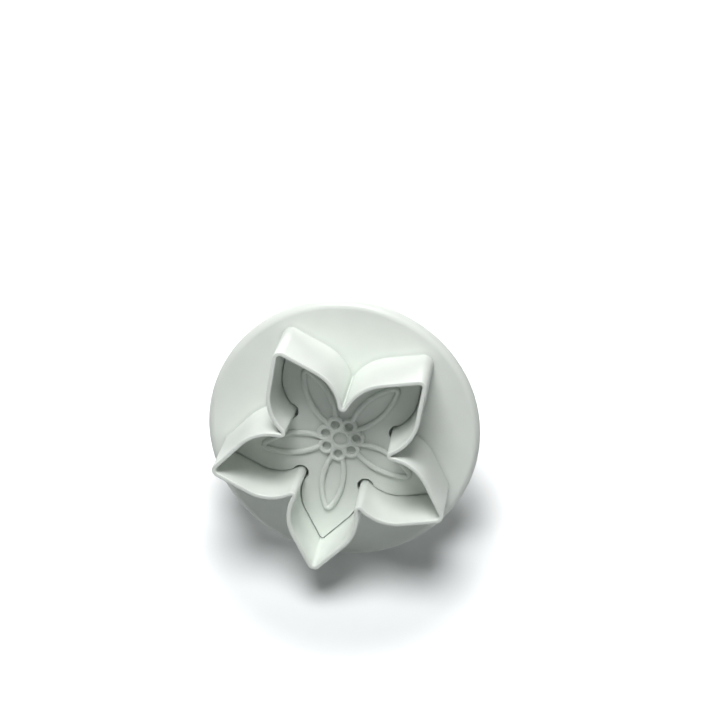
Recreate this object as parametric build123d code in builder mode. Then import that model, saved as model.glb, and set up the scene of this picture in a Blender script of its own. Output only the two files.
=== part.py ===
from build123d import *
import math
import os

# Five-petal plunger cutter, standing on its cutting edge.
# The origin is on the plunger's axis, in the plane of the cutting edge. +Z runs up to the knob.
# One petal points along +Y. All lengths are in millimetres.

# Flower at the cutting edge, measured on the outside of the wall
petal_count = 5
first_petal = 90  # degrees from +X
petal_reach = 34.6  # axis to the outside of a petal's tip
petal_tip_round = 2.2
valley_round = 0.25
corner_round = 0.7  # least round of a petal's tip on the inside

# Arc of a petal's side, as shares of the petal's reach
bulge_round_share = 0.39
bulge_along_share = 0.5145  # the arc's centre, along the petal
bulge_across_share = 0.0955  # and past the petal's middle line

# Wall of the flower
wall_depth = 20.0  # cutting edge to the flange's face
wall_edge = 1.2  # thickness at the cutting edge
outer_draft = 0.65  # how far the outside spreads down to the flange
inner_draft = 0.15  # how far the inside closes in up to the flange
lip_round = 0.35

# Flange
flange_radius = 40.0
flange_web = 2.0
flange_height = 3.2  # face to the end of the skirt
skirt_wall = 1.8
rim_round = 2.1
back_round = 0.6  # small edges behind the flange
skirt_foot_round = 0.5

# Plate inside the flower
plate_thickness = 2.4
plate_gap = 0.3
rest_gap = 0.3  # stop ribs to the flange, at rest
notch_gap = 0.5  # more room round each valley's nose
stop_rib_height = 0.8
stop_rib_width = 1.6
stop_rib_room = 13.4  # from a rib's end to the petal's tip
boss_radius = 5.2
boss_height = 8.6
boss_round = 0.5

# Relief on the plate's face
relief_height = 1.05
ridge_foot = 0.4  # how deep a ridge is rooted in the plate
loop_ridge = 0.8  # round of a petal loop's ridge
loop_tip_room = 12.1  # from the loop's tip to the petal's tip
loop_root = 0.4  # from the ring circle in to the loop's base, which the rings cover
loop_half_width = 3.0
loop_end_round = 0.95
ring_count = 7
ring_ridge = 0.68  # round of a ring's ridge
ring_radius = 1.88
ring_circle = 4.6  # circle that the small rings lie on
centre_ring_radius = 2.62
ring_pit_depth = 0.5  # into the plate, inside a small ring
ring_pit_clearance = 0.04  # round the pit, into the ring's wall
first_ring = 88  # degrees from +X

# Plunger
stem_radius = 3.0
stem_seat = 0.5  # how far the stem's socket starts above the plate's back
press_clearance = 0.02
running_clearance = 0.08
stop_clearance = 0.3
edge_clearance = 0.1  # relief to the cutting edge, pressed

# Guide column and neck behind the flange
pocket_clearance = 0.4  # round the plate's boss
pocket_depth = 8.8
pocket_wall = 2.0
pocket_roof = 1.5
sleeve_height = 7.0
sleeve_wall = 1.5
neck_room = 1.6  # between the column and the neck's bore
neck_spread = 1.2  # wider by this at the flange
neck_wall = 1.8
neck_height = 25.0  # flange's face to the neck's top
neck_base_round = 2.0

# Return spring
spring_wire = 0.9
spring_radius = 6.0  # middle of the wire
spring_turns = 8  # open turns
spring_end_turns = 1  # close turns at each end
spring_end_pitch = 1.6
spring_seat_clearance = 0.05
arcs_per_turn = 4

# Knob
knob_radius = 14.0
knob_height = 17.5
knob_top_round = 2.2
knob_rim_round = 0.7
knob_recess_room = 2.15  # round the spring
knob_recess_depth = 7.0
knob_socket_depth = 2.5  # above the recess
knob_boss_drop = 5.3
knob_boss_wall = 2.0
knob_dish = 0.8
knob_land = 1.3  # flat ring between the dish and the knob's rounded edge

# Knob's fastening and cap
screw_floor = 2.0  # knob wall under the washer
screw_radius = 1.45
screw_length = 12.6
screw_head_radius = 3.0
screw_head_height = 2.0
screw_slot_width = 0.7
screw_slot_depth = 1.0
screw_clearance = 0.25
thread_clearance = 0.02
washer_radius = 3.8
washer_thickness = 0.6
screw_pocket_radius = 4.4
cap_ledge = 1.1  # how much wider the cap's seat is than the screw's pocket
cap_thickness = 1.9
cap_clearance = 0.1
cap_crown = 0.5
cap_room = 0.8  # screw head to the cap

# Heights above the cutting edge
overrun = 1.0
flange_back = wall_depth + flange_web
skirt_end = wall_depth + flange_height
plate_back = wall_depth - rest_gap - stop_rib_height
plate_recess = plate_back - plate_thickness
boss_top = plate_back + boss_height
pocket_top = wall_depth + pocket_depth
spring_seat = pocket_top + pocket_roof
sleeve_top = spring_seat + sleeve_height
neck_top = wall_depth + neck_height
stroke = plate_recess - relief_height - edge_clearance
knob_rim = neck_top + stroke + stop_clearance
knob_top = knob_rim + knob_height
knob_ceiling = knob_rim + knob_recess_depth
stem_bottom = plate_back + stem_seat
stem_top = knob_ceiling + knob_socket_depth
screw_seat = stem_top + screw_floor
head_bottom = screw_seat + washer_thickness
head_top = head_bottom + screw_head_height
cap_seat = head_top + cap_room
dish_floor = knob_top - knob_dish

# Reaches that follow from the flower's
petal_bulge_round = petal_reach * bulge_round_share
petal_bulge_along = petal_reach * bulge_along_share
petal_bulge_across = petal_reach * bulge_across_share
stop_rib_reach = petal_reach - stop_rib_room
loop_base = ring_circle - loop_root
loop_tip = petal_reach - loop_tip_room

# Radii that follow from the fits
stem_socket_radius = stem_radius + press_clearance
guide_radius = stem_radius + running_clearance
sleeve_radius = guide_radius + sleeve_wall
pocket_radius = boss_radius + pocket_clearance
column_radius = pocket_radius + pocket_wall
neck_bore = column_radius + neck_room
neck_radius = neck_bore + neck_wall
knob_boss_radius = stem_socket_radius + knob_boss_wall
knob_recess_radius = spring_radius + spring_wire / 2 + knob_recess_room
knob_dish_radius = knob_radius - knob_top_round - knob_land
cap_seat_radius = screw_pocket_radius + cap_ledge
plate_inset = wall_edge + inner_draft + plate_gap

petal_turn = 360 / petal_count
half_turn = petal_turn / 2


def on_circle(centre, radius, angle):
    """The point of a circle at an angle in degrees."""
    turn = math.radians(angle)
    return centre + Vector(radius * math.cos(turn), radius * math.sin(turn))


def valley_centre(side_round, notch_round):
    """Where a round of notch_round sits between two petal sides of side_round."""
    bulge = Vector(petal_bulge_along, -petal_bulge_across)
    line = on_circle(Vector(0, 0), 1, half_turn)
    along = line.dot(bulge)
    reach = side_round + notch_round
    return line * (along + math.sqrt(along**2 - bulge.dot(bulge) + reach**2))


def petal_half(spread, notch_round):
    """Points of half a petal, from its tip to its valley, for the outline grown by spread."""
    bulge = Vector(petal_bulge_along, -petal_bulge_across)
    tip = Vector(petal_reach - petal_tip_round, 0)
    side_round = petal_bulge_round + spread
    tip_round = max(petal_tip_round + spread, corner_round)
    run = tip - bulge
    lean = math.degrees(math.atan2(run.Y, run.X))
    opening = math.degrees(math.acos((petal_bulge_round - petal_tip_round) / run.length))
    flank = lean + opening
    retreat = (tip_round - petal_tip_round - spread) / math.cos(math.radians(flank))
    tip -= Vector(retreat, 0)
    valley = valley_centre(side_round, notch_round)
    toward = valley - bulge
    valley_angle = math.degrees(math.atan2(toward.Y, toward.X))
    return [
        on_circle(tip, tip_round, 0),
        on_circle(tip, tip_round, flank),
        on_circle(bulge, side_round, flank),
        on_circle(bulge, side_round, (flank + valley_angle) / 2),
        on_circle(bulge, side_round, valley_angle),
        on_circle(valley, notch_round, half_turn + 180),
    ]


def flower_face(spread, notch_round):
    """The flower's face in the open sketch, its outline grown by spread."""
    half = petal_half(spread, notch_round)
    with BuildLine() as outline:
        for petal in range(petal_count):
            turn = first_petal + petal * petal_turn
            high = [point.rotate(Axis.Z, turn) for point in half]
            low = [Vector(point.X, -point.Y).rotate(Axis.Z, turn) for point in half]
            after = Vector(half[4].X, -half[4].Y).rotate(Axis.Z, turn + petal_turn)
            ThreePointArc(low[4], low[3], low[2])
            Line(low[2], low[1])
            ThreePointArc(low[1], low[0], high[1])
            Line(high[1], high[2])
            ThreePointArc(high[2], high[3], high[4])
            ThreePointArc(high[4], high[5], after)
    make_face(outline.edges())


def turned_face(*points):
    """A closed profile of (radius, height) points on the XZ plane, in the open sketch."""
    with BuildLine() as outline:
        Polyline(*points, close=True)
    make_face(outline.edges())


def corner(sketch, radius, height):
    """The vertex of a turned profile that lies nearest to a radius and a height."""
    target = Vector(radius, height)
    return sketch.vertices().sort_by(lambda vertex: (Vector(*vertex) - target).length)[0]


# Cutter body: flower wall, flange, guide column and neck
with BuildPart() as cutter_body:
    with BuildSketch(Plane.XY):
        flower_face(0, valley_round)
    with BuildSketch(Plane.XY.offset(wall_depth)):
        flower_face(outer_draft, valley_round)
    loft(ruled=True)
    with BuildSketch(Plane.XZ) as profile:
        turned_face(
            (0, wall_depth),
            (flange_radius, wall_depth),
            (flange_radius, skirt_end),
            (flange_radius - skirt_wall, skirt_end),
            (flange_radius - skirt_wall, flange_back),
            (neck_radius + neck_spread, flange_back),
            (neck_radius, neck_top),
            (0, neck_top),
        )
        fillet(corner(profile, flange_radius, wall_depth), rim_round)
        fillet(corner(profile, flange_radius, skirt_end), back_round)
        fillet(corner(profile, flange_radius - skirt_wall, skirt_end), back_round)
        fillet(corner(profile, flange_radius - skirt_wall, flange_back), skirt_foot_round)
        fillet(corner(profile, neck_radius + neck_spread, flange_back), neck_base_round)
        fillet(corner(profile, neck_radius, neck_top), back_round)
    revolve(axis=Axis.Z)
    with BuildSketch(Plane.XY):
        flower_face(-wall_edge, valley_round + wall_edge)
    with BuildSketch(Plane.XY.offset(wall_depth)):
        flower_face(-wall_edge - inner_draft, valley_round + wall_edge + inner_draft)
    loft(ruled=True, mode=Mode.SUBTRACT)
    with BuildSketch(Plane.XZ):
        turned_face(
            (column_radius, flange_back),
            (neck_bore, flange_back),
            (neck_bore, neck_top + overrun),
            (0, neck_top + overrun),
            (0, sleeve_top),
            (sleeve_radius, sleeve_top),
            (sleeve_radius, spring_seat),
            (column_radius, spring_seat),
        )
    revolve(axis=Axis.Z, mode=Mode.SUBTRACT)
    with BuildSketch(Plane.XZ):
        turned_face(
            (0, wall_depth - overrun),
            (pocket_radius, wall_depth - overrun),
            (pocket_radius, pocket_top),
            (guide_radius, pocket_top),
            (guide_radius, sleeve_top + overrun),
            (0, sleeve_top + overrun),
        )
    revolve(axis=Axis.Z, mode=Mode.SUBTRACT)
    fillet(cutter_body.edges().group_by(Axis.Z)[0], lip_round)
cutter_body.part.label = "cutter_body"


def loop_path():
    """The middle line of a petal loop along +X: two side arcs with rounded ends."""
    middle = (loop_base + loop_tip) / 2
    half_length = (loop_tip - loop_base) / 2
    end = half_length - loop_end_round
    rise = loop_half_width - loop_end_round
    side_round = (end**2 + rise**2) / (2 * rise) + loop_end_round
    drop = side_round - loop_half_width
    lean = math.degrees(math.atan2(drop, end))
    with BuildLine() as path:
        for side in (1, -1):
            base = Vector(middle - end, 0)
            tip = Vector(middle + end, 0)
            start = base + Vector(-loop_end_round * math.cos(math.radians(lean)),
                                  side * loop_end_round * math.sin(math.radians(lean)))
            finish = Vector(2 * middle - start.X, start.Y)
            ThreePointArc(start, Vector(middle, side * loop_half_width), finish)
        low_start = Vector(start.X, start.Y)
        ThreePointArc(low_start, base - Vector(loop_end_round, 0), Vector(start.X, -start.Y))
        ThreePointArc(Vector(finish.X, finish.Y), tip + Vector(loop_end_round, 0),
                      Vector(finish.X, -finish.Y))
    return path.wire()


def ridge_section(ridge_round):
    """A ridge's section, its first axis out of the plate: straight sides and a round top."""
    with Locations((relief_height - ridge_round, 0)):
        Circle(ridge_round)
        Rectangle(relief_height - ridge_round + ridge_foot, 2 * ridge_round,
                  align=(Align.MAX, Align.CENTER))


# Embossing plate: flower plate with its relief, stop ribs and boss
with BuildPart() as emboss_plate:
    with BuildSketch(Plane.XY.offset(plate_recess)):
        flower_face(-plate_inset, valley_round + plate_inset)
        nose = valley_centre(petal_bulge_round, valley_round)
        with PolarLocations(nose.length, petal_count, start_angle=first_petal + half_turn):
            Circle(valley_round + plate_inset + notch_gap, mode=Mode.SUBTRACT)
    extrude(amount=plate_thickness)
    with BuildSketch(Plane.XY.offset(plate_back)):
        with PolarLocations(stop_rib_reach / 2, petal_count, start_angle=first_petal):
            Rectangle(stop_rib_reach, stop_rib_width)
    extrude(amount=stop_rib_height)
    with BuildSketch(Plane.XY.offset(plate_back)):
        Circle(boss_radius)
    extrude(amount=boss_height)
    fillet(emboss_plate.edges().group_by(Axis.Z)[-1], boss_round)
    with BuildSketch(Plane.XY.offset(boss_top)):
        Circle(stem_socket_radius)
    extrude(amount=stem_bottom - boss_top, mode=Mode.SUBTRACT)
    loop = loop_path()
    for petal in range(petal_count):
        turn = first_petal + petal * petal_turn
        ridge = Location((0, 0, plate_recess), (0, 0, turn)) * loop
        with BuildSketch(Plane(origin=ridge @ 0, x_dir=(0, 0, -1), z_dir=ridge % 0)):
            ridge_section(loop_ridge)
        sweep(path=ridge)
    with BuildSketch(Plane.XY.offset(plate_recess)):
        Circle(ring_circle)
        with PolarLocations(ring_circle, ring_count, start_angle=first_ring):
            Circle(ring_radius)
    extrude(amount=-relief_height - overrun, mode=Mode.SUBTRACT)
    rings = [(Vector(0, 0), centre_ring_radius)]
    for ring in range(ring_count):
        turn = first_ring + ring * 360 / ring_count
        rings.append((on_circle(Vector(0, 0), ring_circle, turn), ring_radius))
    for centre, radius in rings:
        side = centre + Vector(radius, 0, plate_recess)
        with BuildSketch(Plane(origin=side, x_dir=(0, 0, -1), z_dir=(0, 1, 0))):
            ridge_section(ring_ridge)
        revolve(axis=Axis(centre, (0, 0, 1)))
    with BuildSketch(Plane.XY.offset(plate_recess + ring_pit_depth)):
        with PolarLocations(ring_circle, ring_count, start_angle=first_ring):
            Circle(ring_radius - ring_ridge + ring_pit_clearance)
    extrude(amount=-ring_pit_depth - relief_height - overrun, mode=Mode.SUBTRACT)
emboss_plate.part.label = "emboss_plate"

# Plunger stem, with the screw's pilot hole in its top
with BuildPart() as plunger_stem:
    with BuildSketch(Plane.XY.offset(stem_bottom)):
        Circle(stem_radius)
    extrude(amount=stem_top - stem_bottom)
    with BuildSketch(Plane.XY.offset(stem_top)):
        Circle(screw_radius + thread_clearance)
    extrude(amount=-screw_length, mode=Mode.SUBTRACT)
plunger_stem.part.label = "plunger_stem"

# Push knob: dished top, spring recess and stem socket below, screw pocket and cap seat above
with BuildPart() as push_knob:
    with BuildSketch(Plane.XZ) as profile:
        turned_face(
            (0, knob_rim),
            (knob_radius, knob_rim),
            (knob_radius, knob_top),
            (knob_dish_radius, knob_top),
            (cap_seat_radius, dish_floor),
            (0, dish_floor),
        )
        fillet(corner(profile, knob_radius, knob_top), knob_top_round)
        fillet(corner(profile, knob_radius, knob_rim), knob_rim_round)
    revolve(axis=Axis.Z)
    with BuildSketch(Plane.XZ):
        turned_face(
            (0, knob_rim - overrun),
            (knob_recess_radius, knob_rim - overrun),
            (knob_recess_radius, knob_ceiling),
            (knob_boss_radius, knob_ceiling),
            (knob_boss_radius, knob_ceiling - knob_boss_drop),
            (stem_socket_radius, knob_ceiling - knob_boss_drop),
            (stem_socket_radius, stem_top),
            (0, stem_top),
        )
    revolve(axis=Axis.Z, mode=Mode.SUBTRACT)
    with BuildSketch(Plane.XZ):
        turned_face(
            (0, stem_top - overrun),
            (screw_radius + screw_clearance, stem_top - overrun),
            (screw_radius + screw_clearance, screw_seat),
            (screw_pocket_radius, screw_seat),
            (screw_pocket_radius, cap_seat),
            (cap_seat_radius, cap_seat),
            (cap_seat_radius, knob_top),
            (0, knob_top),
        )
    revolve(axis=Axis.Z, mode=Mode.SUBTRACT)
push_knob.part.label = "push_knob"

# Washer under the screw's head
with BuildPart() as screw_washer:
    with BuildSketch(Plane.XY.offset(screw_seat)):
        Circle(washer_radius)
        Circle(screw_radius + screw_clearance, mode=Mode.SUBTRACT)
    extrude(amount=washer_thickness)
screw_washer.part.label = "screw_washer"

# Self-tapping screw that holds the knob on the stem
with BuildPart() as knob_screw:
    with BuildSketch(Plane.XZ):
        turned_face(
            (0, head_bottom - screw_length),
            (screw_radius, head_bottom - screw_length + screw_radius),
            (screw_radius, head_bottom),
            (screw_head_radius, head_bottom),
            (screw_head_radius, head_top),
            (0, head_top),
        )
    revolve(axis=Axis.Z)
    fillet(knob_screw.edges().group_by(Axis.Z)[-1], screw_head_height / 2)
    with BuildSketch(Plane.XY.offset(head_top)):
        with PolarLocations(0, 2, angular_range=180):
            Rectangle(screw_head_radius, screw_slot_width)
    extrude(amount=-screw_slot_depth, mode=Mode.SUBTRACT)
knob_screw.part.label = "knob_screw"

# Cap that closes the screw's pocket
with BuildPart() as knob_cap:
    with BuildSketch(Plane.XY.offset(cap_seat)):
        Circle(cap_seat_radius - cap_clearance)
    extrude(amount=cap_thickness)
    fillet(knob_cap.edges().group_by(Axis.Z)[-1], cap_crown)
knob_cap.part.label = "knob_cap"


def spring_rise(turns):
    """Height of the wire's middle above its start after a number of turns."""
    length = knob_ceiling - spring_seat - spring_wire - 2 * spring_seat_clearance
    open_pitch = (length - 2 * spring_end_turns * spring_end_pitch) / spring_turns
    low = min(turns, spring_end_turns)
    middle = min(max(turns - spring_end_turns, 0), spring_turns)
    high = max(turns - spring_end_turns - spring_turns, 0)
    return (low + high) * spring_end_pitch + middle * open_pitch


def spring_point(turns):
    """A point of the wire's middle line."""
    start = spring_seat + spring_seat_clearance + spring_wire / 2
    flat = on_circle(Vector(0, 0), spring_radius, 360 * turns)
    return flat + Vector(0, 0, start + spring_rise(turns))


def spring_direction(turns, step):
    """The wire's direction, from its rise over a step each way."""
    rise = (spring_rise(turns + step) - spring_rise(turns - step)) / (2 * step)
    flat = on_circle(Vector(0, 0), 2 * math.pi * spring_radius, 360 * turns + 90)
    return (flat + Vector(0, 0, rise)).normalized()


def biarc_joint(start, leaving, finish, arriving):
    """The point where two arcs meet that join two points in the two directions."""
    run = finish - start
    both = leaving + arriving
    spread = 2 * (1 - leaving.dot(arriving))
    reach = (math.sqrt(run.dot(both) ** 2 + spread * run.dot(run)) - run.dot(both)) / spread
    return (start + finish + (leaving - arriving) * reach) * 0.5


# Return spring: one wire, its end turns close and the rest open
all_turns = spring_turns + 2 * spring_end_turns
with BuildPart() as return_spring:
    with BuildLine() as wire_path:
        span_step = 1 / arcs_per_turn
        for span in range(all_turns * arcs_per_turn):
            start = spring_point(span * span_step)
            finish = spring_point((span + 1) * span_step)
            leaving = spring_direction(span * span_step, span_step / 2)
            arriving = spring_direction((span + 1) * span_step, span_step / 2)
            joint = biarc_joint(start, leaving, finish, arriving)
            first = TangentArc(start, joint, tangent=leaving)
            TangentArc(joint, finish, tangent=first % 1)
    with BuildSketch(Plane(origin=wire_path.wire() @ 0, z_dir=wire_path.wire() % 0)):
        Circle(spring_wire / 2)
    sweep(path=wire_path.wire())
return_spring.part.label = "return_spring"

samples = [spring_point(step / 24) for step in range(all_turns * 24 + 1)]
gaps = [
    (samples[i] - samples[k]).length - spring_wire
    for i in range(len(samples))
    for k in range(i + 12, len(samples))
]
print("least gap between the spring's turns, mm:", round(min(gaps), 3))
print("stroke, mm:", round(stroke, 3), " overall height, mm:", round(knob_top, 3))

os.makedirs("parts", exist_ok=True)
pieces = (cutter_body, emboss_plate, plunger_stem, return_spring, push_knob, screw_washer,
          knob_screw, knob_cap)
for piece in pieces:
    export_step(piece.part, f"parts/{piece.part.label}.step")
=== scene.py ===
import math

import bmesh
import bpy
from mathutils import Matrix, Vector


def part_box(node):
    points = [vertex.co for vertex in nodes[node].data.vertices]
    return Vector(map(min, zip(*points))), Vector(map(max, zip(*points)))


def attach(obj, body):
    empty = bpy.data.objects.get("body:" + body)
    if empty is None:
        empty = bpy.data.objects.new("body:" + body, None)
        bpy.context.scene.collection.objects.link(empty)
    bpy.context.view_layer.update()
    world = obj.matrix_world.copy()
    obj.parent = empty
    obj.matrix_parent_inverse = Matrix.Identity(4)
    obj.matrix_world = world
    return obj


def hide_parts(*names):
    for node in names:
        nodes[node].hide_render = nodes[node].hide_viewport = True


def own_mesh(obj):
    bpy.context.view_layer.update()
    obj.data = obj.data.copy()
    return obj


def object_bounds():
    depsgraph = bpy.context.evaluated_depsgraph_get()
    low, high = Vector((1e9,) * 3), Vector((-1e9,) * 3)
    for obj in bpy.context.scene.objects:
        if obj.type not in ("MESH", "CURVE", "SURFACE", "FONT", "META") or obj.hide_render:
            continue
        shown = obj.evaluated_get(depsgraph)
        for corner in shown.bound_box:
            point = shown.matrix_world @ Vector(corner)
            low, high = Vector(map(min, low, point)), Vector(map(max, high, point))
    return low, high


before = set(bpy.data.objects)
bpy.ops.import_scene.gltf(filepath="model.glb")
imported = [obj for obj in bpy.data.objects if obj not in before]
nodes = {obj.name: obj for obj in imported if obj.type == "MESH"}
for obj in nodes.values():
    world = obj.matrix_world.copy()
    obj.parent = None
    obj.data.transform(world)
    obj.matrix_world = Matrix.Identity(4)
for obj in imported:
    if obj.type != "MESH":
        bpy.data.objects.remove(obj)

cad_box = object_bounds()

# The photograph: the cutter lies on its flange and its knob, and its flower faces the camera.
# Its floor is a plane below those two, and these directions are in the model's own frame.
photo_eye = Vector((0.01798, -0.14227, -0.29958))
photo_sight = Vector((-0.04934, 0.34799, 0.93620))
photo_top = Vector((-0.20285, -0.92129, 0.33176))
photo_side = Vector((0.1206, 0.9927, 0))  # the flange's side that rests on the floor
focal_length = 60
film_width = 36
near_clip = 0.01
steepest_rest = math.radians(60)  # no steeper tilt is tried when the part is laid down
rest_tries = 30

# Light
ambient_strength = 0.09
key_power = 3.7
key_distance = 0.6
key_width = 0.33
key_lean = 0.09  # how far the key light leans towards the camera
key_swing = 0.07  # and to the photograph's left
back_power = 3.2
back_from = Vector((-0.25, -0.45, 0.86))
back_distance = 0.8
back_width = 0.5
under_power = 1.5
under_from = Vector((0.25, 0.9, 0.1))  # through the photograph's floor, as on a light table
under_distance = 0.8
under_width = 0.6

# Colours
plastic_colour = (0.79, 0.83, 0.785, 1)
plastic_shade = (0.73, 0.775, 0.73, 1)
# painted shade: the darker colour given to crevices and pits, where little light reaches
painted_crevice_shade = (0.62, 0.66, 0.62, 1)
steel_colour = (0.60, 0.61, 0.62, 1)
steel_shade = (0.42, 0.43, 0.45, 1)
floor_colour = (0.87, 0.89, 0.90, 1)
floor_bounce = (0.48, 0.495, 0.50, 1)  # as the part sees it, so that its underside stays dark
white = (1, 1, 1, 1)

# Surfaces: a noise is patches per metre, detail and, where given, roughness; heights,
# edges and reaches are in metres
noise_span = (0.3, 0.7)  # where most of a noise's values lie
cloud_noise = (90, 3)
cloud_amount = 0.55
plastic_gloss_noise = (420, 4, 0.6)
plastic_gloss = (0.34, 0.48)  # the shader's roughness, as is steel_gloss
wave_noise = (130, 1)
wave_strength = 0.35
wave_height = 0.00012
grain_noise = (2600, 3, 0.65)
grain_strength = 0.5
body_grain = 0.000012
knob_grain = 0.00002
soft_edge = 0.0002
plate_soft_edge = 0.00018
edge_samples = 6
# Painted shade in crevices: how far, and with how many samples, a place's openness is measured
painted_shade_reach = 0.0016
painted_shade_samples = 8
painted_shade_span = (0.35, 0.95)  # openness at which a place is fully shaded, and not at all
plastic_ior = 1.49
scatter_weight = 0.05
scatter_radius = (1.0, 1.0, 0.95)
scatter_scale = 0.0005
stain_noise = (500, 4, 0.6)
stain_amount = 0.7
steel_gloss_noise = (1500, 3)
steel_gloss = (0.22, 0.42)
marks_strength = 0.4
marks_height = 0.00002
spring_marks_noise = (6000, 2)
screw_marks_noise = (3000, 2)
paper_noise = (800, 2)
paper_strength = 0.2
paper_height = 0.0001

# Floors: each glow grows from its first value to its second between the two distances
floor_gap = 0.0001
floor_width = 3
shadow_middle = Vector((0.007, 0.037, 0.032))  # of the shadow on the photograph's floor
photo_glow_distances = (0.038, 0.06)
photo_glows = (0, 0.45)
level_middle = Vector((0, 0, 0))
level_glow_distances = (0.07, 0.5)
level_glows = (0.16, 0.85)

# Spring
wire_radius = 0.00045
spring_turns = 8
spring_end_turns = 1
spring_end_pitch = 0.0016
wire_sides = 16
steps_per_turn = 40


def new_material(name):
    """A material with an empty node tree, and its output."""
    material = bpy.data.materials.new(name)
    material.use_nodes = True
    material.node_tree.nodes.clear()
    return material, material.node_tree.nodes.new("ShaderNodeOutputMaterial")


def add(output, kind, settings=(), **inputs):
    """Adds a node to the tree that output is in; an input is a value or another node's socket."""
    tree = output.id_data
    node = tree.nodes.new(kind)
    for key, value in dict(settings).items():
        setattr(node, key, value)
    for key, value in inputs.items():
        socket = node.inputs[int(key[1:]) if key[1:].isdigit() else key.replace("_", " ")]
        if isinstance(value, bpy.types.NodeSocket):
            tree.links.new(value, socket)
        else:
            socket.default_value = value
    return node


def noise(output, place, scale, detail, roughness=0.5):
    """Noise in the model's own metres."""
    return add(output, "ShaderNodeTexNoise", Vector=place, Scale=scale, Detail=detail,
               Roughness=roughness).outputs["Fac"]


def spread(output, value, low, high):
    """A noise value spread from low to high."""
    return add(output, "ShaderNodeMapRange", Value=value, From_Min=noise_span[0],
               From_Max=noise_span[1], To_Min=low, To_Max=high).outputs["Result"]


def mixed(output, amount, first, second):
    """A colour between two colours."""
    return add(output, "ShaderNodeMix", {"data_type": "RGBA"}, _0=amount, _6=first,
               _7=second).outputs[2]


def larger(output, first, second):
    """The larger of two values."""
    return add(output, "ShaderNodeMath", {"operation": "MAXIMUM"}, _0=first,
               _1=second).outputs[0]


def moulded_plastic(name, grain_height, edge_radius):
    """Satin white plastic: faint clouding, painted shade in crevices and pits, worn gloss, a fine
    moulded grain and soft edges."""
    material, output = new_material(name)
    place = add(output, "ShaderNodeTexCoord").outputs["Object"]
    cloud = spread(output, noise(output, place, *cloud_noise), 0, cloud_amount)
    tint = mixed(output, cloud, plastic_colour, plastic_shade)
    # Painted shade: crevices and pits get a darker colour the less open they are
    openness = add(output, "ShaderNodeAmbientOcclusion",
                   {"samples": painted_shade_samples, "only_local": True},
                   Distance=painted_shade_reach).outputs["AO"]
    painted_shade_amount = add(output, "ShaderNodeMapRange", Value=openness, From_Min=painted_shade_span[0],
                  From_Max=painted_shade_span[1], To_Min=1, To_Max=0).outputs["Result"]
    tint = mixed(output, painted_shade_amount, tint, painted_crevice_shade)
    gloss = spread(output, noise(output, place, *plastic_gloss_noise), *plastic_gloss)
    edges = add(output, "ShaderNodeBevel", {"samples": edge_samples},
                Radius=edge_radius).outputs["Normal"]
    wave = add(output, "ShaderNodeBump", Strength=wave_strength, Distance=wave_height,
               Height=noise(output, place, *wave_noise), Normal=edges).outputs["Normal"]
    grain = add(output, "ShaderNodeBump", Strength=grain_strength, Distance=grain_height,
                Height=noise(output, place, *grain_noise), Normal=wave).outputs["Normal"]
    shader = add(output, "ShaderNodeBsdfPrincipled", Base_Color=tint, Roughness=gloss,
                 Normal=grain, IOR=plastic_ior, Subsurface_Weight=scatter_weight,
                 Subsurface_Radius=scatter_radius, Subsurface_Scale=scatter_scale)
    material.node_tree.links.new(shader.outputs["BSDF"], output.inputs["Surface"])
    return material


def drawn_steel(name, marks_noise):
    """Steel with fine drawing marks and slight staining."""
    material, output = new_material(name)
    place = add(output, "ShaderNodeTexCoord").outputs["Object"]
    stain = spread(output, noise(output, place, *stain_noise), 0, stain_amount)
    tint = mixed(output, stain, steel_colour, steel_shade)
    gloss = spread(output, noise(output, place, *steel_gloss_noise), *steel_gloss)
    marks = add(output, "ShaderNodeBump", Strength=marks_strength, Distance=marks_height,
                Height=noise(output, place, *marks_noise)).outputs["Normal"]
    shader = add(output, "ShaderNodeBsdfPrincipled", Base_Color=tint, Roughness=gloss,
                 Normal=marks, Metallic=1)
    material.node_tree.links.new(shader.outputs["BSDF"], output.inputs["Surface"])
    return material


def one_sided_floor(name, middle, distances, glows):
    """White floor seen from its front only, which keeps shadows; its glow, for the camera and
    reflections alone, grows between two distances from the middle."""
    material, output = new_material(name)
    place = add(output, "ShaderNodeTexCoord").outputs["Object"]
    paper = add(output, "ShaderNodeBump", Strength=paper_strength, Distance=paper_height,
                Height=noise(output, place, *paper_noise)).outputs["Normal"]
    path = add(output, "ShaderNodeLightPath").outputs
    seen = larger(output, path["Is Camera Ray"], path["Is Glossy Ray"])
    tint = mixed(output, seen, floor_bounce, floor_colour)
    matte = add(output, "ShaderNodeBsdfDiffuse", Color=tint, Normal=paper)
    away = add(output, "ShaderNodeVectorMath", {"operation": "DISTANCE"}, _0=place,
               _1=middle).outputs["Value"]
    glow = add(output, "ShaderNodeMapRange", {"interpolation_type": "SMOOTHSTEP"}, Value=away,
               From_Min=distances[0], From_Max=distances[1], To_Min=glows[0],
               To_Max=glows[1]).outputs["Result"]
    level = add(output, "ShaderNodeMath", {"operation": "MULTIPLY"}, _0=seen, _1=glow).outputs[0]
    light = add(output, "ShaderNodeEmission", Color=white, Strength=level)
    front = add(output, "ShaderNodeAddShader", _0=matte.outputs[0], _1=light.outputs[0])
    back = add(output, "ShaderNodeBsdfTransparent")
    side = add(output, "ShaderNodeNewGeometry").outputs["Backfacing"]
    both = add(output, "ShaderNodeMixShader", _0=side, _1=front.outputs[0], _2=back.outputs[0])
    material.node_tree.links.new(both.outputs[0], output.inputs["Surface"])
    return material


def dress(node, material):
    """Gives a CAD node its material."""
    mesh = nodes[node].data
    mesh.materials.clear()
    mesh.materials.append(material)


body_plastic = moulded_plastic("body_plastic", body_grain, soft_edge)
plate_plastic = moulded_plastic("plate_plastic", body_grain, plate_soft_edge)
knob_plastic = moulded_plastic("knob_plastic", knob_grain, soft_edge)
spring_steel = drawn_steel("spring_steel", spring_marks_noise)
screw_steel = drawn_steel("screw_steel", screw_marks_noise)

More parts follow.
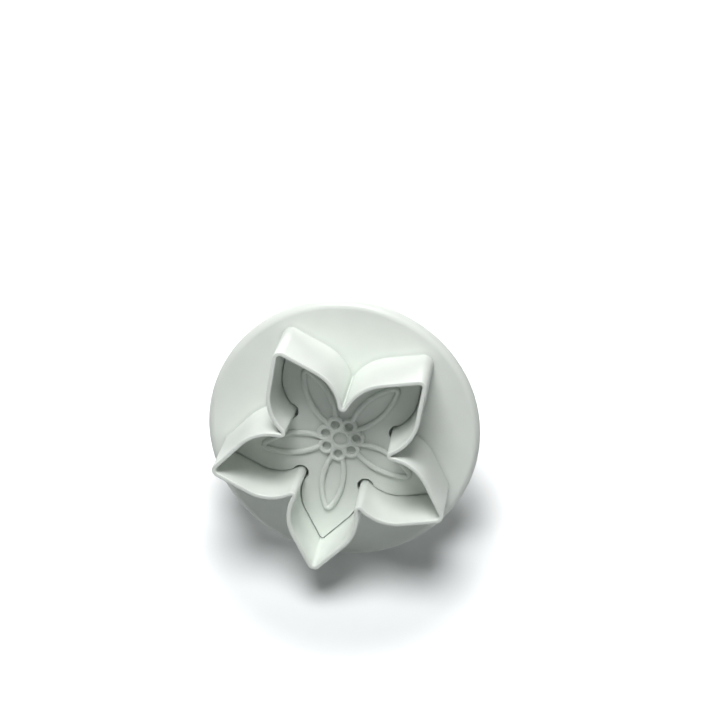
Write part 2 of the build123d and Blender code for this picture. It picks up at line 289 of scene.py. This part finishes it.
dress("cutter_body", body_plastic)
dress("emboss_plate", plate_plastic)
for plain_node in ("plunger_stem", "push_knob", "knob_cap"):
    dress(plain_node, knob_plastic)
for steel_node in ("knob_screw", "screw_washer"):
    dress(steel_node, screw_steel)


def coil_point(turns, low, high, radius):
    """A point of the spring's middle line, so many turns up from its low end."""
    pitch = (high - low - 2 * spring_end_turns * spring_end_pitch) / spring_turns
    inner = min(max(turns - spring_end_turns, 0), spring_turns)
    rise = (turns - inner) * spring_end_pitch + inner * pitch
    angle = math.tau * turns
    return Vector((radius * math.cos(angle), radius * math.sin(angle), low + rise))


def coil_spring():
    """The return spring as one smooth wire with flat ends."""
    low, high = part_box("return_spring")
    radius = (high[0] - low[0]) / 2 - wire_radius
    bottom = low[2] + wire_radius
    top = high[2] - wire_radius
    count = (spring_turns + 2 * spring_end_turns) * steps_per_turn
    line = [coil_point(step / steps_per_turn, bottom, top, radius)
            for step in range(count + 1)]
    mesh = bmesh.new()
    rings = []
    for step, point in enumerate(line):
        run = (line[min(step + 1, count)] - line[max(step - 1, 0)]).normalized()
        out = Vector((point.x, point.y, 0)).normalized()
        side = run.cross(out).normalized()
        out = side.cross(run)
        ring = []
        for corner in range(wire_sides):
            angle = math.tau * corner / wire_sides
            offset = (out * math.cos(angle) + side * math.sin(angle)) * wire_radius
            ring.append(mesh.verts.new(point + offset))
        rings.append(ring)
    for first, second in zip(rings, rings[1:]):
        for corner in range(wire_sides):
            after = (corner + 1) % wire_sides
            mesh.faces.new((first[corner], first[after], second[after], second[corner]))
    mesh.faces.new(rings[0][::-1])
    mesh.faces.new(rings[-1])
    bmesh.ops.recalc_face_normals(mesh, faces=mesh.faces)
    data = bpy.data.meshes.new("spring_coil")
    mesh.to_mesh(data)
    mesh.free()
    data.shade_smooth()
    data.materials.append(spring_steel)
    coil = bpy.data.objects.new("spring_coil", data)
    bpy.context.scene.collection.objects.link(coil)
    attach(coil, "cutter")
    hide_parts("return_spring")
    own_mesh(coil)


coil_spring()


def plane(name, centre, normal, across, material):
    """A square of the floor round centre, facing along normal, with two sides along across."""
    along = normal.cross(across)
    half = floor_width / 2
    corners = [centre + across * half * x + along * half * y
               for x, y in ((-1, -1), (1, -1), (1, 1), (-1, 1))]
    data = bpy.data.meshes.new(name)
    data.from_pydata([tuple(corner) for corner in corners], [], [(0, 1, 2, 3)])
    data.materials.append(material)
    piece = bpy.data.objects.new(name, data)
    bpy.context.scene.collection.objects.link(piece)
    return piece


def reach(name, direction):
    """How far a CAD node reaches in a direction."""
    return max(vertex.co.dot(direction) for vertex in nodes[name].data.vertices)


def resting_direction():
    """The way down when the flange and the knob both touch the floor."""
    flat, steep = 0, steepest_rest
    for _ in range(rest_tries):
        tilt = (flat + steep) / 2
        down = photo_side.normalized() * math.cos(tilt) + Vector((0, 0, math.sin(tilt)))
        if reach("cutter_body", down) > reach("push_knob", down):
            flat = tilt
        else:
            steep = tilt
    return down


# The photograph's floor
photo_down = resting_direction()
floor_reach = reach("cutter_body", photo_down) + floor_gap
photo_floor = plane("photo_floor", photo_down * floor_reach, -photo_down,
                    photo_down.orthogonal().normalized(),
                    one_sided_floor("floor_white", shadow_middle, photo_glow_distances,
                                    photo_glows))
photo_floor.visible_shadow = False

# The level floor is for the other views: the camera sees it from above, it ends at the
# photograph's floor, and it lights nothing
outward = Vector((photo_down.x, photo_down.y, 0)).normalized()
floors_meet = (floor_reach + floor_gap * photo_down.z) / outward.dot(photo_down)
level_centre = outward * (floors_meet - floor_width / 2) - Vector((0, 0, floor_gap))
level_floor = plane("level_floor", level_centre, Vector((0, 0, 1)), outward,
                    one_sided_floor("level_white", level_middle, level_glow_distances,
                                    level_glows))
level_floor.visible_diffuse = False
level_floor.visible_glossy = False
level_floor.visible_transmission = False
level_floor.visible_shadow = False


def soft_lamp(name, direction, distance, width, power):
    """A round lamp at distance along direction, aimed at the middle of the part."""
    centre = (cad_box[0] + cad_box[1]) / 2
    data = bpy.data.lights.new(name, "AREA")
    data.shape = "DISK"
    data.size = width
    data.energy = power
    lamp = bpy.data.objects.new(name, data)
    lamp.location = centre + direction.normalized() * distance
    lamp.rotation_mode = "QUATERNION"
    lamp.rotation_quaternion = (-direction).to_track_quat("-Z", "Y")
    bpy.context.scene.collection.objects.link(lamp)


photo_left = photo_top.cross(photo_sight).normalized()
key_from = photo_left * key_swing - Vector((0, 0, key_lean)) - photo_down
soft_lamp("key_light", key_from, key_distance, key_width, key_power)
soft_lamp("back_light", back_from, back_distance, back_width, back_power)
soft_lamp("under_light", under_from, under_distance, under_width, under_power)

# World: even light, and plain white where the camera or a reflection sees it
world = bpy.data.worlds.new("studio")
bpy.context.scene.world = world
world.use_nodes = True
world.node_tree.nodes.clear()
sky = world.node_tree.nodes.new("ShaderNodeOutputWorld")
path = add(sky, "ShaderNodeLightPath").outputs
seen = larger(sky, path["Is Camera Ray"], path["Is Glossy Ray"])
seen = larger(sky, seen, path["Is Transmission Ray"])
lighting = add(sky, "ShaderNodeBackground", Color=white, Strength=ambient_strength)
showing = add(sky, "ShaderNodeBackground", Color=white, Strength=1)
both = add(sky, "ShaderNodeMixShader", _0=seen, _1=lighting.outputs[0], _2=showing.outputs[0])
world.node_tree.links.new(both.outputs[0], sky.inputs["Surface"])

# Camera
camera_data = bpy.data.cameras.new("camera")
camera_data.lens = focal_length
camera_data.sensor_width = film_width
camera_data.clip_start = near_clip
camera = bpy.data.objects.new("camera", camera_data)
bpy.context.scene.collection.objects.link(camera)
across = photo_sight.cross(photo_top).normalized()
upward = across.cross(photo_sight).normalized()
turn = Matrix((across, upward, -photo_sight)).transposed()
camera.matrix_world = Matrix.Translation(photo_eye) @ turn.to_4x4()
bpy.context.scene.camera = camera
bpy.context.scene.view_settings.view_transform = "Standard"
